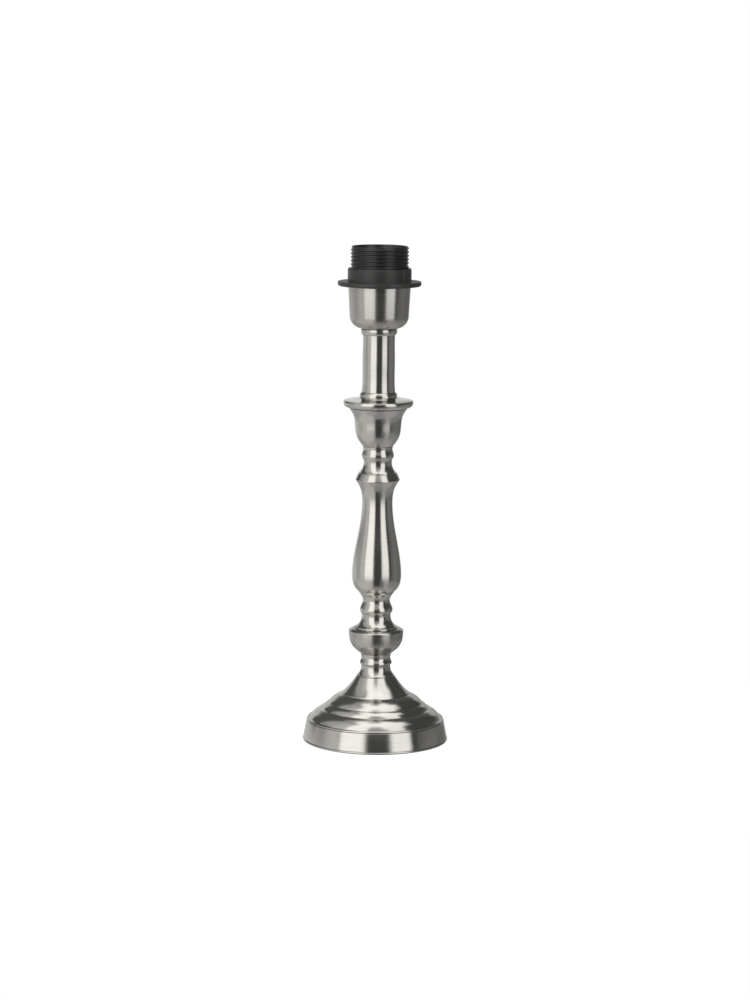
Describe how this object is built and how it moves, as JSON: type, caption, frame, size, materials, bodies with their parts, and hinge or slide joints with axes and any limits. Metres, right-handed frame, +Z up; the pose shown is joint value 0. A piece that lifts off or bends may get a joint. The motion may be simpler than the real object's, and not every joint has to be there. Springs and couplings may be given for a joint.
{
  "type": "candlestick lamp",
  "caption": "Candlestick table lamp of turned nickel-plated pieces on one hollow rod, with a drip pan, a candle tube and a black lampholder with a screw-on shade ring.",
  "frame": {"origin": "middle of the underside of the felt pad, on the lamp's axis, at the level of the table", "axes": "+Z up along the rod; +Y towards the rear, where the cord inlet is; +X to the right seen from the front"},
  "size_m": [0.1016, 0.1016, 0.3453],
  "materials": {
    "brushed_nickel": "turned and brushed satin nickel plate",
    "black_thermoplastic": "satin moulded",
    "zinc_plated_steel": "bright zinc plate",
    "brass": "bright stamped brass",
    "grey_nylon": "matt moulded",
    "cast_iron": "painted rough casting",
    "felt": "pressed felt"
  },
  "bodies": {
    "stand": {"baluster": "brushed_nickel", "base_lock_washer": "zinc_plated_steel", "base_pad": "felt", "base_shell": "brushed_nickel", "base_spool": "brushed_nickel", "base_washer": "zinc_plated_steel", "base_weight": "cast_iron", "candle_cup": "brushed_nickel", "candle_tube": "brushed_nickel", "cap_set_screw": "zinc_plated_steel", "contact_carrier": "black_thermoplastic", "contact_rivets": "brass", "contact_root": "brass", "cord_grommet": "grey_nylon", "cup_washer": "zinc_plated_steel", "drip_pan": "brushed_nickel", "holder_cap": "black_thermoplastic", "holder_cup": "brushed_nickel", "knop_bowl": "brushed_nickel", "lower_spool": "brushed_nickel", "rod_bush": "grey_nylon", "rod_nuts": "zinc_plated_steel", "screw_shell": "brass", "terminal_screws": "zinc_plated_steel", "terminals": "brass", "threaded_rod": "zinc_plated_steel", "threaded_sleeve": "black_thermoplastic", "tube_collar": "brushed_nickel", "tube_foot_ring": "brushed_nickel", "upper_spool": "brushed_nickel"},
    "shade_ring": {"shade_ring": "black_thermoplastic"},
    "centre_contact": {"centre_contact": "brass"}
  },
  "joints": [
    {"name": "shade_ring_slide", "type": "slide", "parent": "stand", "child": "shade_ring", "axis": [0, 0, 1], "range_m": [0, 0.0275]},
    {"name": "centre_contact_spring", "type": "hinge", "parent": "stand", "child": "centre_contact", "pos_m": [-0.0041, 0, 0.3106], "axis": [0, 1, 0], "range_deg": [0, 12], "stiffness_Nm_per_rad": 0.08}
  ]
}
